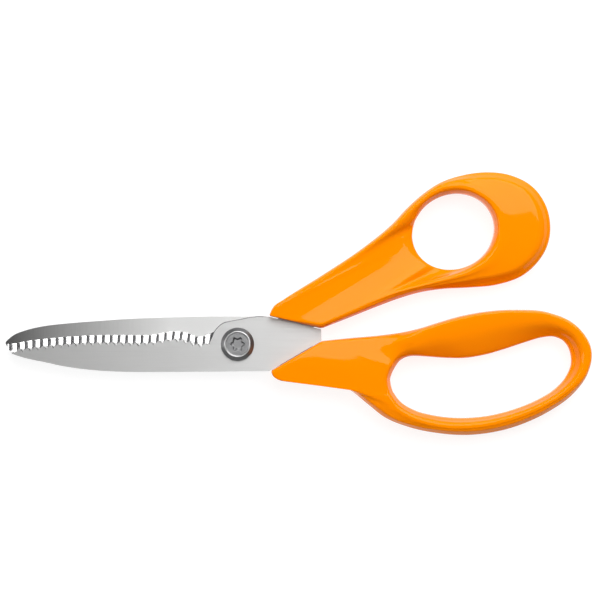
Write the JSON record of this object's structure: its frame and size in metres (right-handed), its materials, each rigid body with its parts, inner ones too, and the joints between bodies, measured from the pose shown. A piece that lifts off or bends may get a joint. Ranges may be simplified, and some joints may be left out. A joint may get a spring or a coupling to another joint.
{
  "type": "pinking shears",
  "caption": "Pinking shears: two toothed steel blades on a screw pivot, each in a moulded handle, one with a round thumb hole and one with a long finger loop.",
  "frame": {"origin": "on the pivot axis, at the centre of the pivot nut's flat back face", "axes": "+X along the closed shears from the tips to the handles, +Z along the pivot axis, out of the side that carries the screw head, and +Y towards the thumb handle"},
  "size_m": [0.2298, 0.1031, 0.0136],
  "materials": {
    "brushed_blade": "bright stainless steel, brushed along the blade",
    "ground_blade": "stainless steel, ground across the blade, with polished tooth flanks",
    "handle_plastic": "glossy orange moulded plastic",
    "screw_steel": "turned steel, satin, with a darker rim",
    "bush_bronze": "plain bronze bearing metal",
    "glide_nylon": "matt off-white nylon",
    "spring_steel": "dark spring steel"
  },
  "bodies": {
    "far_half": {"far_blade": "ground_blade", "finger_handle": "handle_plastic", "pivot_nut": "screw_steel", "pivot_screw": "screw_steel", "glide_washer": "glide_nylon", "spring_washer": "spring_steel"},
    "near_half": {"near_blade": "brushed_blade", "thumb_handle": "handle_plastic", "pivot_bush": "bush_bronze"}
  },
  "joints": [
    {"name": "blade_pivot", "type": "hinge", "parent": "far_half", "child": "near_half", "pos_m": [0, 0, 0.0048], "axis": [0, 0, 1], "range_deg": [0, 80]}
  ]
}
